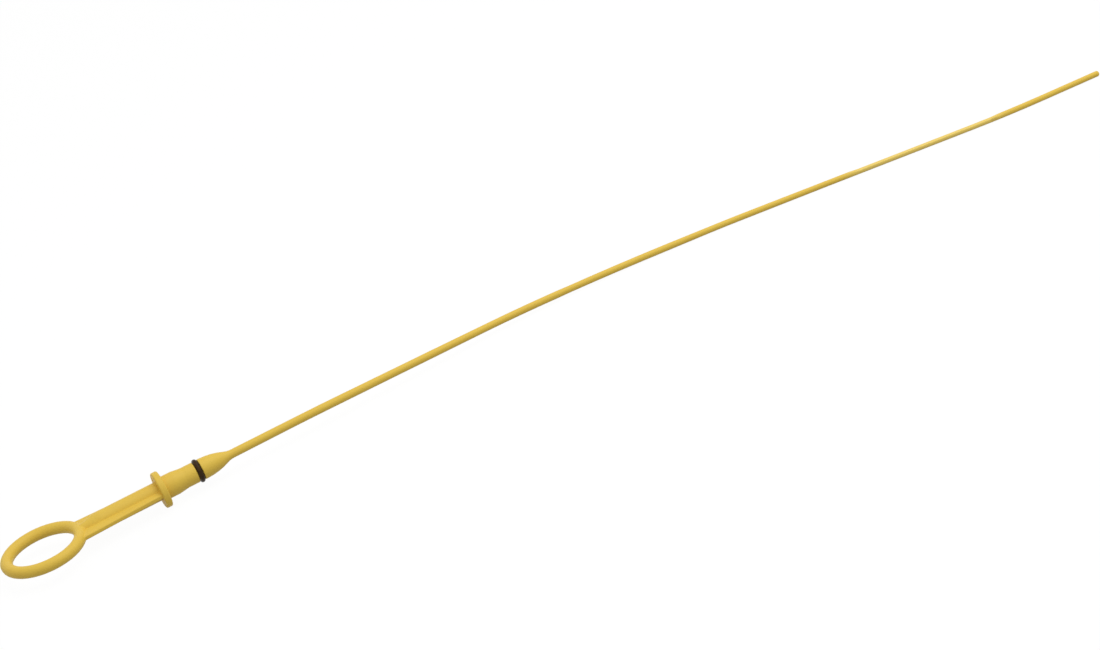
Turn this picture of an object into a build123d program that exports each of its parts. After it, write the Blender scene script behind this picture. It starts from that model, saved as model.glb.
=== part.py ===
from build123d import *
from math import radians, tan
import os

# Engine oil dipstick: a one-piece plastic moulding with a rubber seal ring on its plug.
# Millimetres. The origin is the centre of the flange's seat face, +X runs down the plug towards
# the tip of the rod, the finger ring lies level and +Z is up. The part lies on a flat surface
# on the rim of its flange and on the far end of its rod.

# Finger ring
ring_inside_diameter = 28.0
ring_width = 5.4
ring_thickness = 5.3
ring_to_seat = 57.5

# Stem: a round bar with a flat wing on each side, level with the ring
stem_diameter = 8.6
stem_runout = 10.5
stem_end_inset = 0.2
wing_thickness = 2.1
wing_width_at_ring = 18.6
wing_width_at_flange = 14.0
wing_edge_radius = 0.65
ring_root_radius = 0.8
runout_sections = 5

# Flange
flange_diameter = 16.7
flange_thickness = 3.0
flange_rim_radius = 1.2

# Plug: a barrel under the flange, a lead-in cone, a spigot with the seal groove and a nose
barrel_diameter = 10.5
barrel_length = 5.0
cone_length = 4.6
spigot_diameter = 9.3
spigot_length = 5.4
plug_blend_radius = 4.0
groove_lip = 0.2
nose_diameter = 9.5
nose_land = 0.9
nose_length = 12.6
nose_flare_radius = 8.0

# Seal ring, drawn a little oval over its groove, and the room round it
seal_width = 2.2
seal_thickness = 2.1
seal_outside_diameter = 10.9
seal_clearance = 0.05
seal_side_clearance = 0.2

# Rod: it leaves the nose in line with the plug, sags to the surface and lies there in a loose
# curve. The straight runs of its route have a length along X, a heading angle seen from above,
# in degrees, and a share of the fall down to the surface.
rod_root_diameter = 3.9
rod_diameter = 2.72
rod_taper_length = 300.0
rod_bend_radius = 350.0
rod_tip_radius = 1.1
rod_run_lengths = (36.9, 53.0, 55.0, 50.0, 55.0, 51.0, 88.0, 48.3)
rod_heading_angles = (0.0, 2.68, 3.93, -2.19, -9.9, -12.9, -13.45, -7.29)
rod_fall_shares = (0.0, 0.28, 0.38, 0.27, 0.05, 0.02, 0.0, 0.0)

# Gauge: a flat on the upper side of the rod that shows the oil's level
gauge_to_tip = 50.5
gauge_length = 81.0
gauge_flat_height = 0.72
gauge_runout = 7.0

# Places worked out from the sizes
ring_radius = (ring_inside_diameter + ring_width) / 2
ring_centre = Vector(-ring_to_seat, 0, 0)
stem_start = -ring_to_seat + ring_radius
stem_full = stem_start + stem_runout
stem_end = -flange_thickness / 2
stem_end_diameter = ring_thickness - 2 * stem_end_inset
cone_start = barrel_length
cone_end = cone_start + cone_length
groove_start = cone_end + spigot_length
groove_end = groove_start + seal_width + 2 * seal_side_clearance
groove_middle = (groove_start + groove_end) / 2
nose_start = groove_end + nose_land
nose_end = nose_start + nose_length
seal_radius = (seal_outside_diameter - seal_thickness) / 2
groove_radius = seal_radius - seal_thickness / 2 - seal_clearance
rod_start = nose_end + nose_flare_radius / 2
rod_drop = (flange_diameter - rod_diameter) / 2


def wing_width(x):
    """Width over both wings, which narrow evenly from the ring to the flange."""
    share = (x - stem_start) / (stem_end - stem_start)
    return wing_width_at_ring + (wing_width_at_flange - wing_width_at_ring) * share


def stem_section(x, diameter):
    """Stem outline across the shaft: a round bar and its two wings."""
    with BuildSketch(Plane.YZ.offset(x)) as section:
        Circle(diameter / 2)
        Rectangle(wing_width(x), wing_thickness)
        edge_line = wing_width(x) / 2 - wing_edge_radius
        tips = section.vertices().filter_by(lambda v: abs(v.X) > edge_line)
        fillet(tips, wing_edge_radius)
    return section.sketch


def corner(sketch, x, z):
    """The corner of a profile nearest to a place."""
    return sketch.vertices().sort_by_distance((x, z))[0]


# Corners of the rod's route
route = [Vector(rod_start, 0, 0)]
for run, heading, share in zip(rod_run_lengths, rod_heading_angles, rod_fall_shares):
    route.append(route[-1] + Vector(run, run * tan(radians(heading)), -rod_drop * share))

with BuildPart() as dipstick:
    # Finger ring
    with BuildSketch(Plane.XZ):
        with Locations((stem_start, 0)):
            Ellipse(ring_width / 2, ring_thickness / 2)
    revolve(axis=Axis(ring_centre, (0, 0, 1)))

    # Stem, thinning into the ring at one end
    for step in range(runout_sections):
        share = step / (runout_sections - 1)
        ease = share * share * (3 - 2 * share)
        diameter = stem_end_diameter + (stem_diameter - stem_end_diameter) * ease
        add(stem_section(stem_start + stem_runout * share, diameter))
    loft()
    fillet(dipstick.edges(Select.NEW), ring_root_radius)
    for x in (stem_full, stem_end):
        add(stem_section(x, stem_diameter))
    loft(ruled=True)

    # Flange, plug and nose
    with BuildSketch(Plane.XZ) as turned:
        with BuildLine():
            Polyline(
                (nose_start, nose_diameter / 2),
                (groove_end, nose_diameter / 2),
                (groove_end, groove_radius),
                (groove_start, groove_radius),
                (groove_start, spigot_diameter / 2),
                (cone_end, spigot_diameter / 2),
                (cone_start, barrel_diameter / 2),
                (0, barrel_diameter / 2),
                (0, flange_diameter / 2),
                (-flange_thickness, flange_diameter / 2),
                (-flange_thickness, 0),
                (rod_start, 0),
                (rod_start, rod_root_diameter / 2),
                (nose_end, rod_root_diameter / 2),
            )
            TangentArc((nose_start, nose_diameter / 2), (nose_end, rod_root_diameter / 2), tangent=(1, 0))
        make_face()
        fillet(corner(turned, nose_end, rod_root_diameter / 2), nose_flare_radius)
        chamfer(corner(turned, groove_end, nose_diameter / 2), groove_lip)
        chamfer(corner(turned, groove_start, spigot_diameter / 2), groove_lip)
        fillet(corner(turned, cone_end, spigot_diameter / 2), plug_blend_radius)
        fillet(corner(turned, cone_start, barrel_diameter / 2), plug_blend_radius)
        for x in (-flange_thickness, 0):
            fillet(corner(turned, x, flange_diameter / 2), flange_rim_radius)
    revolve(axis=Axis.X)

    # Rod: it tapers along its straight runs as far as the gauge and keeps its width round each bend
    with BuildLine() as rod_path:
        FilletPolyline(*route, radius=rod_bend_radius)
    rod_line = rod_path.wire()
    gauge_start = rod_line.length - gauge_to_tip - gauge_length
    widths = [rod_root_diameter]
    done = 0
    for span in rod_line.order_edges():
        if span.geom_type == GeomType.CIRCLE:
            share = min((done + span.length / 2) / rod_taper_length, 1)
            widths += 2 * [rod_root_diameter + (rod_diameter - rod_root_diameter) * share]
        done += span.length
    widths.append(rod_diameter)
    for span, width, next_width in zip(rod_line.order_edges(), widths, widths[1:]):
        for place, diameter in ((0, width), (1, next_width)):
            with BuildSketch(Plane(span @ place, x_dir=(0, 1, 0), z_dir=span % place)):
                Circle(diameter / 2)
        sweep(path=span, multisection=True)
    fillet(dipstick.edges().sort_by(Axis.X)[-1], rod_tip_radius)

    # Gauge flat, running out in a slope at each end
    gauge_from = rod_line @ (gauge_start / rod_line.length)
    gauge_to = rod_line @ (1 - gauge_to_tip / rod_line.length)
    gauge_middle = (gauge_from + gauge_to) / 2
    gauge_line = gauge_to - gauge_from
    gauge_depth = rod_diameter / 2 - gauge_flat_height
    with BuildSketch(Plane(gauge_middle, x_dir=gauge_line, z_dir=gauge_line.cross(Vector(0, 0, 1)))):
        with Locations((0, gauge_flat_height)):
            half = gauge_line.length / 2
            Polygon(
                (gauge_runout - half, 0),
                (half - gauge_runout, 0),
                (half + gauge_runout, 2 * gauge_depth),
                (-half - gauge_runout, 2 * gauge_depth),
                align=(Align.CENTER, Align.MIN),
            )
    extrude(amount=2 * rod_diameter, both=True, mode=Mode.SUBTRACT)

with BuildPart() as seal_ring:
    with BuildSketch(Plane.XZ):
        with Locations((groove_middle, seal_radius)):
            Ellipse(seal_width / 2, seal_thickness / 2)
    revolve(axis=Axis.X)

os.makedirs("parts", exist_ok=True)
dipstick.part.label = "dipstick"
export_step(dipstick.part, "parts/dipstick.step")
seal_ring.part.label = "seal_ring"
export_step(seal_ring.part, "parts/seal_ring.step")
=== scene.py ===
# %% [markdown]
# # An engine oil dipstick on a white table
# The real thing is one yellow plastic moulding and one rubber ring. The moulding has a finger ring, a
# stem with two flat wings, a flange, a plug and half a metre of thin rod with a flat near its tip. The
# rubber ring sits in a groove on the plug and seals the engine's tube. The solids that come with this
# lesson already have the true sizes, so Blender's job is the looks: two finishes, two finer touches to
# the moulding, a table, soft light and a camera that stands where the photographer stood.

# %% Load the solids
import math

import bpy
from mathutils import Matrix, Vector


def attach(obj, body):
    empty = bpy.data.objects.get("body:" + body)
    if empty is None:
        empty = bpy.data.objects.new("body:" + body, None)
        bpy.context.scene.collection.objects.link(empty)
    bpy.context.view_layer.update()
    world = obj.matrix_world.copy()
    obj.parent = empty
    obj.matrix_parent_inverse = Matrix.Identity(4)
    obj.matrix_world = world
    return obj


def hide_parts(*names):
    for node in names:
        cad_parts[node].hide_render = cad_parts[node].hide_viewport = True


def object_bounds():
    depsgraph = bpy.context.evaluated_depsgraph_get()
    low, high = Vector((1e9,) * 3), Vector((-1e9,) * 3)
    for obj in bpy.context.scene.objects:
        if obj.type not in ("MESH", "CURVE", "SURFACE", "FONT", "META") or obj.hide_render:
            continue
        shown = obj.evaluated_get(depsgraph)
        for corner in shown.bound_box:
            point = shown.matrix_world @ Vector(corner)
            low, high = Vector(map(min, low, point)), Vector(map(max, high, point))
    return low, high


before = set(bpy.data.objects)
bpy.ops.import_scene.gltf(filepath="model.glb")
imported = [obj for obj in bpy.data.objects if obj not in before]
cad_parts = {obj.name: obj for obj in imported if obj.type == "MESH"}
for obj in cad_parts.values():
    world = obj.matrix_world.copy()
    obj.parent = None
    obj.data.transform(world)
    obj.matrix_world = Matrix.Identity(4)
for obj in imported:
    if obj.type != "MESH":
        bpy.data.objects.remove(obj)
cad_low, cad_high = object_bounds()
scene = bpy.context.scene
mm = 0.001
print("solids:", sorted(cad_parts))
print("box in mm:", [round((high - low) / mm, 1) for low, high in zip(cad_low, cad_high)])

# %% [markdown]
# ## Shader maths as plain expressions
# A finish is made of small sums: a shine, for one, is a base plus a share of some noise. In the shader
# editor each plus and times is a box with wires, and a sum of five terms is hard to read. Here a small
# class wraps one output of a node, so that `0.4 + 0.1 * streak` adds the two Math nodes and links them.
# The reflected forms (`__radd__` and the like) are what lets the number come first. Every other kind
# of node comes from `Wire.node`: its settings go in first, because they can change which sockets it
# has, and then the values or wires of its sockets.

# %% A socket that can be used in expressions
class Wire:
    """One output of a shader node, usable in arithmetic."""

    def __init__(self, socket):
        self.socket = socket
        self.tree = socket.id_data

    @staticmethod
    def node(tree, kind, settings=None, sockets=None, output=0):
        """Adds a node, sets it up, fills its sockets and returns one of its outputs."""
        made = tree.nodes.new(kind)
        for name, value in (settings or {}).items():
            setattr(made, name, value)
        for name, value in (sockets or {}).items():
            if isinstance(value, Wire):
                tree.links.new(value.socket, made.inputs[name])
            else:
                made.inputs[name].default_value = value
        return Wire(made.outputs[output]) if len(made.outputs) else made

    def sibling(self, output):
        """Another output of the same node."""
        return Wire(self.socket.node.outputs[output])

    def maths(self, operation, first, second):
        """A sum or product of two numbers or wires."""
        return Wire.node(self.tree, "ShaderNodeMath", {"operation": operation}, {0: first, 1: second})

    def __add__(self, other):
        return self.maths("ADD", self, other)

    def __radd__(self, other):
        return self.maths("ADD", other, self)

    def __mul__(self, other):
        return self.maths("MULTIPLY", self, other)

    def __rmul__(self, other):
        return self.maths("MULTIPLY", other, self)


print("arithmetic on wires:", [name for name in vars(Wire) if name.endswith(("add__", "mul__"))])

# %% [markdown]
# ## The tools that both finishes share
# Plastic and rubber are the same all through, so their unevenness should be too. Noise that is read at
# a point in space does that: it needs no unwrapping, has no seam on the ring and no stretch along the
# rod. A painted image would need all three looked after. `speckle` takes the size of its spots,
# because that can be compared with the part, and hands the noise node its inverse. Its layers are
# finer and finer spots laid over the first.

# %% Empty finishes, noise, colour blends and grain
mix_first_colour, mix_second_colour, mix_result_colour = 6, 7, 2
few_layers, more_layers = 2, 3


def new_finish(name):
    """An empty material and its node tree."""
    finish = bpy.data.materials.new(name)
    finish.use_nodes = True
    finish.node_tree.nodes.clear()
    return finish, finish.node_tree


def show(tree, shader):
    """Sends a shader to the material's output."""
    Wire.node(tree, "ShaderNodeOutputMaterial", sockets={"Surface": shader})


def speckle(place, spot_size, layers):
    """Noise from 0 to 1 with spots of about this size."""
    sockets = {"Vector": place, "Scale": 1 / spot_size, "Detail": layers}
    return Wire.node(place.tree, "ShaderNodeTexNoise", sockets=sockets)


def ramp(value, start, end):
    """A smooth rise from 0 to 1 as the value goes from the start to the end."""
    sockets = {"Value": value, "From Min": start, "From Max": end}
    return Wire.node(value.tree, "ShaderNodeMapRange", {"interpolation_type": "SMOOTHSTEP"}, sockets)


def blend(share, first, second):
    """A colour that goes from the first, a colour or a wire, to the second as the share grows."""
    first = first if isinstance(first, Wire) else (*first, 1)
    sockets = {"Factor": share, mix_first_colour: first, mix_second_colour: (*second, 1)}
    return Wire.node(share.tree, "ShaderNodeMix", {"data_type": "RGBA"}, sockets, mix_result_colour)


def grained(height, depth, strength):
    """A surface direction that follows a fine relief of this depth."""
    sockets = {"Height": height, "Distance": depth, "Strength": strength}
    return Wire.node(height.tree, "ShaderNodeBump", sockets=sockets)


print("a Mix node set to colours takes them at sockets", mix_first_colour, "and", mix_second_colour)

# %% [markdown]
# ## Yellow plastic
# The moulding is plastic that was coloured before it was shot into a steel mould, and the mould's
# faintly blasted steel leaves it satin. One flat yellow would look like a drawing. What tells the eye
# that it is a moulding is a soft drift between a lemon and an amber yellow, faint streaks that run the
# way the melt ran, and a shine that is a little uneven along those streaks. The streaks are the same
# noise read at places that are squeezed along X, so that each spot is drawn out along the part. The
# grain is far too fine to model, so it is a bump: it only tips the light. The stretch with the gauge
# flat is paler, because its smooth flat shows a sheen of the white sky. That sheen is painted, as a
# colour that fades to straw all round the rod there. Two ramps along X make that stretch, which needs
# no map and no second material. The mirror of the shader is turned down, because a satin moulding
# under a white sky would otherwise get pale rims where it is seen at a slant.

# %% The moulding's finish
lemon_yellow = (0.81, 0.57, 0.078)
amber_yellow = (0.75, 0.485, 0.058)
cloud_size = 14 * mm
streak_width = 3 * mm
streak_length = 30 * mm
plastic_grain_size = 0.3 * mm
plastic_grain_depth = 0.03 * mm
plastic_grain_strength = 0.6
cloud_share = 0.6
satin_roughness = 0.45
streak_roughness = 0.12
plastic_mirror = 0.3
# painted sheen: a pale straw for the gauge stretch, standing in for the white sky's sheen on its flat
painted_sheen_straw = (0.84, 0.615, 0.135)
gauge_start = 340 * mm
gauge_end = 425 * mm
gauge_fade = 12 * mm


def yellow_plastic():
    """Satin yellow plastic, drifting in tone, streaked along the part, with a painted sheen at the gauge.
    """
    finish, tree = new_finish("yellow_plastic")
    place = Wire.node(tree, "ShaderNodeTexCoord", output="Object")
    squeeze = (streak_width / streak_length, 1, 1)
    drawn_out = Wire.node(tree, "ShaderNodeVectorMath", {"operation": "MULTIPLY"}, {0: place, 1: squeeze})
    cloud = speckle(place, cloud_size, few_layers)
    streak = speckle(drawn_out, streak_width, more_layers)
    yellow = blend(cloud_share * cloud + (1 - cloud_share) * streak, amber_yellow, lemon_yellow)
    grain = speckle(place, plastic_grain_size, few_layers)
    along = Wire.node(tree, "ShaderNodeSeparateXYZ", sockets={"Vector": place}, output="X")
    # painted sheen: two ramps along X fade the colour to pale straw over the gauge stretch
    past_start = ramp(along, gauge_start, gauge_start + gauge_fade)
    before_end = ramp(along, gauge_end, gauge_end - gauge_fade)
    sockets = {
        "Base Color": blend(past_start * before_end, yellow, painted_sheen_straw),
        "Roughness": satin_roughness + streak_roughness * streak,
        "Specular IOR Level": plastic_mirror,
        "Normal": grained(grain, plastic_grain_depth, plastic_grain_strength),
    }
    show(tree, Wire.node(tree, "ShaderNodeBsdfPrincipled", sockets=sockets))
    print(finish.name, "is made of", len(tree.nodes), "nodes")
    return finish


plastic = yellow_plastic()

# %% [markdown]
# ## Black rubber
# The seal ring is soft black rubber, moulded smooth and wiped with oil, so it is dark and a little
# brown, with a dull shine along its upper side. A black that is too black loses its roundness, and one
# that mirrors too much turns grey under a white sky. So the colour keeps some brown, which shades from
# the ring's top to its underside, and the mirror is turned down on the shader itself, where it stays
# the same all over. Fine noise mottles the colour and the shine, as talc and oil do.

# %% The seal ring's finish
soot_black = (0.010, 0.004, 0.001)
cocoa_black = (0.080, 0.045, 0.016)
mottle_size = 1.2 * mm
rubber_grain_size = 0.2 * mm
rubber_grain_depth = 0.01 * mm
rubber_grain_strength = 0.5
oiled_roughness = 0.16
dry_roughness = 0.16
rubber_mirror = 0.08


def black_rubber():
    """Dark oily rubber with a soft shine."""
    finish, tree = new_finish("black_rubber")
    place = Wire.node(tree, "ShaderNodeTexCoord", output="Object")
    mottle = speckle(place, mottle_size, more_layers)
    grain = speckle(place, rubber_grain_size, few_layers)
    sockets = {
        "Base Color": blend(mottle, soot_black, cocoa_black),
        "Roughness": oiled_roughness + dry_roughness * mottle,
        "Specular IOR Level": rubber_mirror,
        "Normal": grained(grain, rubber_grain_depth, rubber_grain_strength),
    }
    show(tree, Wire.node(tree, "ShaderNodeBsdfPrincipled", sockets=sockets))
    print(finish.name, "is made of", len(tree.nodes), "nodes")
    return finish


rubber = black_rubber()

# %% [markdown]
# ## Wings as the photograph has them
# The stem is a round bar with a flat wing on each side. In the photograph the wings are thicker where
# they leave the bar, so that their tops slope and catch the light, and the bar rises from them in a dark
# line. The solid's wings are level. A bevel could not slope them, and a new model of the whole moulding
# would lose its soft joints with the ring. So a copy of the solid's mesh is reshaped, and its points
# keep their neighbours. Across the stem, a quarter of the outline is the bar, the wing's top and the
# wing's edge. The new outline has the same bar and edge, and a top that runs straight between them.

# %% The stem's outline
stem_start, stem_full, stem_end = -40.8 * mm, -30.3 * mm, -1.5 * mm
bar_at_ring, bar_radius = 2.45 * mm, 4.3 * mm
wing_half_at_ring, wing_half_at_flange = 9.3 * mm, 7.0 * mm
wing_top, edge_rounding = 1.05 * mm, 0.65 * mm
slope_meets_bar = math.radians(20)
upright = math.pi / 2


def facing(angle):
    """The direction, sideways and up, that faces this angle."""
    return Vector((math.cos(angle), math.sin(angle)))


def angle_of(way):
    """The angle that a direction faces."""
    return math.atan2(way.y, way.x)


def progress(x, start, end):
    """How far x has come from the start to the end, from 0 to 1."""
    return min(max((x - start) / (end - start), 0), 1)


def eased(share):
    """The same share with a soft start and a soft end."""
    return share * share * (3 - 2 * share)


def stem_sizes(x):
    """Radius of the bar and middle of the wing edge's rounding, this far along the stem."""
    bar = bar_at_ring + (bar_radius - bar_at_ring) * eased(progress(x, stem_start, stem_full))
    narrowing = (wing_half_at_ring - wing_half_at_flange) * progress(x, stem_start, stem_end)
    wing_half = wing_half_at_ring - narrowing
    return bar, Vector((wing_half - edge_rounding, wing_top - edge_rounding))


def slope_angle(bar, edge):
    """The angle faced by a wing top that leaves the bar and just touches the edge's rounding."""
    reach = bar * facing(slope_meets_bar) - edge
    return angle_of(reach) - math.acos(edge_rounding / reach.length)


bar, edge = stem_sizes(stem_full)
print("wing tops slope by", round(math.degrees(upright - slope_angle(bar, edge)), 1), "degrees")

# %% [markdown]
# ## Moving the stem's points
# Pushing points by eye would leave dents that the light finds at once. Each point of the outline is
# known by the piece that it is near, so it goes to the same piece of the new outline, and the angle
# that its surface faces turns as that piece turns. Where the bar meets the wing's top, one place
# belongs to two pieces, and the angle tells them apart. Towards the ring the change fades out, because
# there the bar melts into the ring and the solid is right as it is.

# %% Where the stem's points go
near = 0.02 * mm
fade_start, fade_end = -37.7 * mm, -33.0 * mm


def sloped(x, side, height, tilt):
    """A point of a quarter of the outline and the angle that it faces, as they become."""
    bar, edge = stem_sizes(x)
    top = slope_angle(bar, edge)
    joint = math.asin(wing_top / bar)
    point = Vector((side, height))
    if side > edge.x - near and height > edge.y - near:
        goal = edge + edge_rounding * facing(angle_of(point - edge) * top / upright)
        new_tilt = tilt * top / upright
    elif abs(point.length - bar) < near:
        on_top = height < wing_top + near and tilt > (joint + upright) / 2
        stretch = (upright - slope_meets_bar) / (upright - joint)
        goal = bar * facing(upright - (upright - angle_of(point)) * stretch)
        new_tilt = top if on_top else upright - (upright - tilt) * stretch
    elif abs(height - wing_top) < near:
        foot = bar * math.cos(joint)
        share = (side - foot) / (edge.x - foot)
        goal = (bar * facing(slope_meets_bar)).lerp(edge + edge_rounding * facing(top), share)
        new_tilt = top
    else:
        return point, tilt
    fade = progress(x, fade_start, fade_end)
    return point.lerp(goal, fade), tilt + (new_tilt - tilt) * fade


inner = math.sqrt(bar_radius ** 2 - wing_top ** 2)
raised = sloped(stem_full, inner, wing_top, upright)[0]
print("the wing's top rises by", round((raised.y - wing_top) / mm, 2), "mm where it meets the bar")

# %% [markdown]
# ## A crisper rim
# The flange is the disk that stops the plug at the mouth of the engine's tube. Its rim has a narrower
# rounding in the photograph than on the solid. A rounding is an arc about a middle, so a point of the
# rim keeps its angle, its distance to the middle shrinks, and the middle moves out towards the corner.
# Its normal stays as it is, because the angle does.

# %% Where the rim's points go
flange_back, flange_seat, flange_radius = -3.0 * mm, 0.0, 8.35 * mm
soft_rim, crisp_rim = 1.2 * mm, 0.7 * mm


def crisp(x, reach):
    """A point of the flange's rim, along and out from the axis, at its angle on a smaller rounding."""
    for face, inward in ((flange_back, 1), (flange_seat, -1)):
        middle_x = face + inward * soft_rim
        if inward * (x - middle_x) < near:
            offset = Vector((x - middle_x, reach - flange_radius + soft_rim)) * (crisp_rim / soft_rim)
            return face + inward * crisp_rim + offset.x, flange_radius - crisp_rim + offset.y
    return x, reach


def reshaped(place, normal):
    """A point of the moulding and its normal, as they become."""
    x, y, z = place
    reach = math.hypot(y, z)
    if flange_back - near < x < flange_seat + near and reach > flange_radius - soft_rim - near:
        new_x, new_reach = crisp(x, reach)
        return Vector((new_x, y * new_reach / reach, z * new_reach / reach)), normal
    if fade_start < x < flange_back + near:
        across, up = math.copysign(1, y), math.copysign(1, z)
        way = Vector((across * normal.y, up * normal.z))
        goal, tilt = sloped(x, abs(y), abs(z), angle_of(way))
        way = way.length * facing(tilt)
        new_place = Vector((x, across * goal.x, up * goal.y))
        return new_place, Vector((normal.x, across * way.x, up * way.y))
    return place, normal


print("the rim's rounding goes from", soft_rim / mm, "to", crisp_rim / mm, "mm")

# %% [markdown]
# ## The moulding
# The solid's own mesh may not change, so the moves are made on a copy, which then stands in for it. A
# mesh keeps a direction for each corner of each face, which the light goes by. They are read before the
# points move and set again afterwards, or the level tops would still show as ghosts in the shading. On
# faces that look along the part, such as the flange's flat side, there is nothing to turn.

# %% Reshape a copy of the solid
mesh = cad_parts["dipstick"].data.copy()
places = [vertex.co.copy() for vertex in mesh.vertices]
indices = [loop.vertex_index for loop in mesh.loops]
old_normals = [corner.vector.copy() for corner in mesh.corner_normals]
normals = []
furthest = 0
for index, old_normal in zip(indices, old_normals):
    goal, normal = reshaped(places[index], old_normal)
    furthest = max(furthest, (goal - places[index]).length)
    mesh.vertices[index].co = goal
    normals.append(normal)
mesh.normals_split_custom_set(normals)
moulding = bpy.data.objects.new("moulding", mesh)
scene.collection.objects.link(moulding)
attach(moulding, "root")
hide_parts("dipstick")
print("moulding reshaped, furthest move in mm:", round(furthest / mm, 2))

# %% [markdown]
# ## Dress the pieces
# The seal ring's solid is right as it is: an oval drawn round the groove. A second model of it could
# only drift away from the first, so it keeps its mesh, and only what fills its material slot changes.

# %% Put the finishes on
for piece, finish in ((moulding, plastic), (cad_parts["seal_ring"], rubber)):
    piece.data.materials.clear()
    piece.data.materials.append(finish)
    print(piece.name, "wears", finish.name, "on", len(piece.data.polygons), "faces")

# %% [markdown]
# ## White table
# The photograph's ground is pure white. More light would get there too, but it would bleach the yellow.
# Instead the table answers differently to different rays. Rays that come from the camera, straight or
# by way of a mirror or glass, mostly see a plain white glow. Rays of light that bounce about mostly see
# dull paper, which throws back a little light at the part's underside. A small share of the glow
# reaches them too, as from opal glass, because the photograph's rod isn't dark where it lies on the
# table. A share of the paper is left in what the camera sees, so that the part's shadow still falls.

# %% Table
table_reach = 3.0
paper_white = 0.24
glow_share = 0.8
opal_share = 0.17
glow_strength = 1.2
white = (1, 1, 1, 1)


def seen_by_camera(tree):
    """One for rays from the camera and for those that reach it by mirror or glass."""
    straight = Wire.node(tree, "ShaderNodeLightPath", output="Is Camera Ray")
    return straight + straight.sibling("Is Glossy Ray") + straight.sibling("Is Transmission Ray")


def white_table():
    """Paper over opal glass, which looks white to the camera and keeps a faint shadow."""
    finish, tree = new_finish("white_table")
    glow = Wire.node(tree, "ShaderNodeEmission", sockets={"Color": white, "Strength": glow_strength})
    paper_colour = (paper_white, paper_white, paper_white, 1)
    paper = Wire.node(tree, "ShaderNodeBsdfDiffuse", sockets={"Color": paper_colour})
    share = opal_share + (glow_share - opal_share) * seen_by_camera(tree)
    sockets = {0: share, 1: paper, 2: glow}
    show(tree, Wire.node(tree, "ShaderNodeMixShader", sockets=sockets))
    return finish


floor_level = cad_low.z
corner_signs = ((-1, -1), (1, -1), (1, 1), (-1, 1))
table_corners = [(x * table_reach, y * table_reach, floor_level) for x, y in corner_signs]
sheet = bpy.data.meshes.new("table")
sheet.from_pydata(table_corners, [], [(0, 1, 2, 3)])
sheet.materials.append(white_table())
table = bpy.data.objects.new("table", sheet)
scene.collection.objects.link(table)
print("table at", round(floor_level / mm, 2), "mm, under the flange's rim")

# %% [markdown]
# ## Soft light
# The shades on the finger ring tell how the photograph was lit: its sides are about half as bright as
# its top, with no hard edge between, and the right side is a little brighter than the left. That is a
# white room with one large soft light high on the right. The room is the world's own glow, which comes
# from everywhere. The light is a disk as wide as it is far away, because a wide light gives the broad
# weak shine of the photograph, where a small one would draw a bright line along the rod. It stands near
# enough that the rod's end gets a little more of it than the finger ring.

# %% Room and softbox
room_light = 0.635
softbox_turn = math.radians(55)
softbox_rise = math.radians(70)
softbox_distance = 1.1
softbox_size = 1.1
softbox_watts = 6.1
middle = (cad_low + cad_high) / 2


def direction(turn, rise):
    """A unit step from the front, turned towards +X and raised above the table."""
    flat = math.cos(rise)
    return Vector((flat * math.sin(turn), -flat * math.cos(turn), math.sin(rise)))


room = bpy.data.worlds.new("white_room")
room.use_nodes = True
walls = room.node_tree
walls.nodes.clear()
lit = Wire.node(walls, "ShaderNodeBackground", sockets={"Color": white, "Strength": room_light})
plain = Wire.node(walls, "ShaderNodeBackground", sockets={"Color": white, "Strength": 1})
wall = Wire.node(walls, "ShaderNodeMixShader", sockets={0: seen_by_camera(walls), 1: lit, 2: plain})
Wire.node(walls, "ShaderNodeOutputWorld", sockets={"Surface": wall})
scene.world = room

softbox = bpy.data.lights.new("softbox", "AREA")
softbox.shape = "DISK"
softbox.size = softbox_size
softbox.energy = softbox_watts
softbox_stand = bpy.data.objects.new("softbox", softbox)
softbox_way = direction(softbox_turn, softbox_rise)
softbox_stand.location = middle + softbox_distance * softbox_way
softbox_stand.rotation_euler = softbox_way.to_track_quat("Z", "Y").to_euler()
scene.collection.objects.link(softbox_stand)
print("softbox at", [round(v, 2) for v in softbox_stand.location], "over a room of", room_light)

# %% [markdown]
# ## Camera
# The photographer looked down on the part from a low slope, a little to the left of straight on, and
# turned the picture so that the part runs from corner to corner. The camera is placed the same way: a
# point on the table that it looks at, a turn, a rise and a distance from there, and last a roll about
# its own line of sight. Rolling the camera keeps the part lying on the table, where tilting the part
# would lift its rod into the air.

# %% Camera
camera_aim = Vector((0.1853, -0.01332, floor_level))
camera_distance = 1.1159
camera_turn = math.radians(-17.544)
camera_rise = math.radians(24.792)
camera_roll = math.radians(-19.596)
view_angle = math.radians(25)

lens = bpy.data.cameras.new("camera")
lens.sensor_fit = "HORIZONTAL"
lens.angle = view_angle
camera = bpy.data.objects.new("camera", lens)
backwards = direction(camera_turn, camera_rise)
turned = backwards.to_track_quat("Z", "Y").to_matrix() @ Matrix.Rotation(camera_roll, 3, "Z")
camera.matrix_world = Matrix.Translation(camera_aim + camera_distance * backwards) @ turned.to_4x4()
scene.collection.objects.link(camera)
scene.camera = camera
scene.view_settings.view_transform = "Standard"
print("camera at", [round(v, 3) for v in camera.matrix_world.translation])

# %% [markdown]
# ## The part's size
# A finish must not change the part's size. The box around everything is measured once, when the
# solids are loaded.
